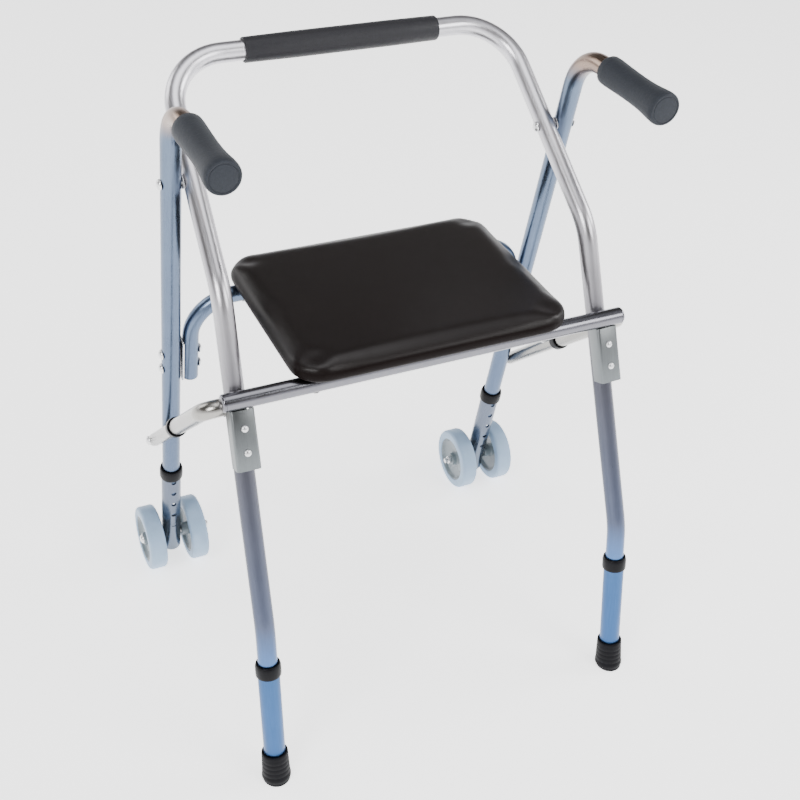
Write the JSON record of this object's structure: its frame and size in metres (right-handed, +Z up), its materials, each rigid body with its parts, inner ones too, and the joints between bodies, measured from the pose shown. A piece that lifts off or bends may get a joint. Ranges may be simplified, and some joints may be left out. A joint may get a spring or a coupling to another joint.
{
  "type": "folding wheeled walker with seat",
  "caption": "Folding walking frame with front wheels, rubber-tipped rear legs, foam handles, a backrest bar and a lift-up padded seat.",
  "frame": {"origin": "middle of the footprint box on the floor", "axes": "+Z up, +Y the way the user walks (wheels at +Y), +X to the user's right"},
  "size_m": [0.6396, 0.5234, 0.8458],
  "materials": {
    "polished_tube": "polished, clear anodised",
    "satin_sleeve": "satin, pale blue anodised",
    "zinc_steel": "bright zinc",
    "black_plastic": "moulded, fine grain",
    "bar_cap": "moulded, silver grey",
    "black_rubber": "matte",
    "foam_sleeve": "closed-cell foam",
    "grip_foam": "closed-cell foam",
    "pale_tread": "smooth, pale grey",
    "grey_hub": "moulded, grey",
    "seat_board": "black-stained plywood",
    "seat_cover": "smooth synthetic leather"
  },
  "bodies": {
    "handle_frame": {"rear_seat_bar": "polished_tube", "handle_tube_left": "polished_tube", "handle_grip_left": "grip_foam", "bar_mount_left": "zinc_steel", "pivot_rivet_left": "zinc_steel", "pivot_washer_left": "zinc_steel", "handle_tube_right": "polished_tube", "handle_grip_right": "grip_foam", "bar_mount_right": "zinc_steel", "pivot_rivet_right": "zinc_steel", "pivot_washer_right": "zinc_steel"},
    "leg_frame": {"backrest_frame": "polished_tube", "backrest_foam": "foam_sleeve", "leg_bracket_left": "polished_tube", "strut_stud_left": "zinc_steel", "leg_bracket_right": "polished_tube", "strut_stud_right": "zinc_steel"},
    "seat": {"seat_board": "seat_board", "seat_cushion": "seat_cover", "seat_front_bar": "polished_tube", "bar_cap_left": "bar_cap", "seat_bolt_left": "zinc_steel", "seat_clip_left": "zinc_steel", "bar_cap_right": "bar_cap", "seat_bolt_right": "zinc_steel", "seat_clip_right": "zinc_steel"},
    "foot_leg_left": {"foot_sleeve_left": "satin_sleeve", "foot_collar_left": "black_plastic", "rubber_tip_left": "black_rubber"},
    "wheel_leg_left": {"wheel_sleeve_left": "satin_sleeve", "wheel_collar_left": "black_plastic", "axle_bolt_left": "zinc_steel", "axle_nut_left": "zinc_steel"},
    "foot_pin_left": {"foot_button_left": "zinc_steel"},
    "wheel_pin_left": {"wheel_button_left": "zinc_steel"},
    "wheel_left_inner": {"wheel_tread_left_inner": "pale_tread", "wheel_hub_left_inner": "grey_hub"},
    "wheel_left_outer": {"wheel_tread_left_outer": "pale_tread", "wheel_hub_left_outer": "grey_hub"},
    "strut_sleeve_left": {"strut_outer_left": "polished_tube", "strut_bush_left": "black_plastic"},
    "strut_rod_left": {"strut_inner_left": "polished_tube", "strut_bolt_left": "zinc_steel"},
    "foot_leg_right": {"foot_sleeve_right": "satin_sleeve", "foot_collar_right": "black_plastic", "rubber_tip_right": "black_rubber"},
    "wheel_leg_right": {"wheel_sleeve_right": "satin_sleeve", "wheel_collar_right": "black_plastic", "axle_bolt_right": "zinc_steel", "axle_nut_right": "zinc_steel"},
    "foot_pin_right": {"foot_button_right": "zinc_steel"},
    "wheel_pin_right": {"wheel_button_right": "zinc_steel"},
    "wheel_right_inner": {"wheel_tread_right_inner": "pale_tread", "wheel_hub_right_inner": "grey_hub"},
    "wheel_right_outer": {"wheel_tread_right_outer": "pale_tread", "wheel_hub_right_outer": "grey_hub"},
    "strut_sleeve_right": {"strut_outer_right": "polished_tube", "strut_bush_right": "black_plastic"},
    "strut_rod_right": {"strut_inner_right": "polished_tube", "strut_bolt_right": "zinc_steel"}
  },
  "joints": [
    {"name": "frame_fold", "type": "hinge", "parent": "handle_frame", "child": "leg_frame", "pos_m": [0, 0.0923, 0.71776], "axis": [1, 0, 0], "range_deg": [0, 25]},
    {"name": "seat_lift", "type": "hinge", "parent": "handle_frame", "child": "seat", "pos_m": [0, 0.12695, 0.524], "axis": [-1, 0, 0], "range_deg": [0, 70]},
    {"name": "foot_height_left", "type": "slide", "parent": "leg_frame", "child": "foot_leg_left", "axis": [-0.0079, -0.1845, -0.9828], "range_m": [-0.0254, 0.0508]},
    {"name": "wheel_height_left", "type": "slide", "parent": "handle_frame", "child": "wheel_leg_left", "axis": [0, 0.176, -0.9844], "range_m": [-0.0254, 0.0508]},
    {"name": "foot_button_left_press", "type": "slide", "parent": "leg_frame", "child": "foot_pin_left", "axis": [-0.0015, 0.9828, -0.1845], "range_m": [-0.0035, 0], "stiffness_N_per_m": 600},
    {"name": "wheel_button_left_press", "type": "slide", "parent": "handle_frame", "child": "wheel_pin_left", "axis": [0, -0.9844, -0.176], "range_m": [-0.0035, 0], "stiffness_N_per_m": 600},
    {"name": "strut_turn_left", "type": "hinge", "parent": "leg_frame", "child": "strut_sleeve_left", "pos_m": [-0.292, -0.079, 0.5075], "axis": [1, 0, 0], "range_deg": [-33.3, 0]},
    {"name": "strut_slide_left", "type": "slide", "parent": "strut_sleeve_left", "child": "strut_rod_left", "axis": [0, -0.7322, 0.6811], "range_m": [0, 0.1106]},
    {"name": "wheel_spin_left_inner", "type": "hinge", "parent": "wheel_leg_left", "child": "wheel_left_inner", "pos_m": [-0.2685, 0.2117, 0.05], "axis": [1, 0, 0], "continuous": true},
    {"name": "wheel_spin_left_outer", "type": "hinge", "parent": "wheel_leg_left", "child": "wheel_left_outer", "pos_m": [-0.2685, 0.2117, 0.05], "axis": [1, 0, 0], "continuous": true},
    {"name": "foot_height_right", "type": "slide", "parent": "leg_frame", "child": "foot_leg_right", "axis": [0.0079, -0.1845, -0.9828], "range_m": [-0.0254, 0.0508]},
    {"name": "wheel_height_right", "type": "slide", "parent": "handle_frame", "child": "wheel_leg_right", "axis": [0, 0.176, -0.9844], "range_m": [-0.0254, 0.0508]},
    {"name": "foot_button_right_press", "type": "slide", "parent": "leg_frame", "child": "foot_pin_right", "axis": [0.0015, 0.9828, -0.1845], "range_m": [-0.0035, 0], "stiffness_N_per_m": 600},
    {"name": "wheel_button_right_press", "type": "slide", "parent": "handle_frame", "child": "wheel_pin_right", "axis": [0, -0.9844, -0.176], "range_m": [-0.0035, 0], "stiffness_N_per_m": 600},
    {"name": "strut_turn_right", "type": "hinge", "parent": "leg_frame", "child": "strut_sleeve_right", "pos_m": [0.292, -0.079, 0.5075], "axis": [1, 0, 0], "range_deg": [-33.3, 0]},
    {"name": "strut_slide_right", "type": "slide", "parent": "strut_sleeve_right", "child": "strut_rod_right", "axis": [0, -0.7322, 0.6811], "range_m": [0, 0.1106]},
    {"name": "wheel_spin_right_inner", "type": "hinge", "parent": "wheel_leg_right", "child": "wheel_right_inner", "pos_m": [0.2685, 0.2117, 0.05], "axis": [1, 0, 0], "continuous": true},
    {"name": "wheel_spin_right_outer", "type": "hinge", "parent": "wheel_leg_right", "child": "wheel_right_outer", "pos_m": [0.2685, 0.2117, 0.05], "axis": [1, 0, 0], "continuous": true}
  ],
  "couplings": [
    {"joint": "strut_turn_left", "follows": "frame_fold", "ratio": -1.3261},
    {"joint": "strut_slide_left", "follows": "frame_fold", "m_per_rad": 0.25294},
    {"joint": "strut_turn_right", "follows": "frame_fold", "ratio": -1.3261},
    {"joint": "strut_slide_right", "follows": "frame_fold", "m_per_rad": 0.25294}
  ]
}
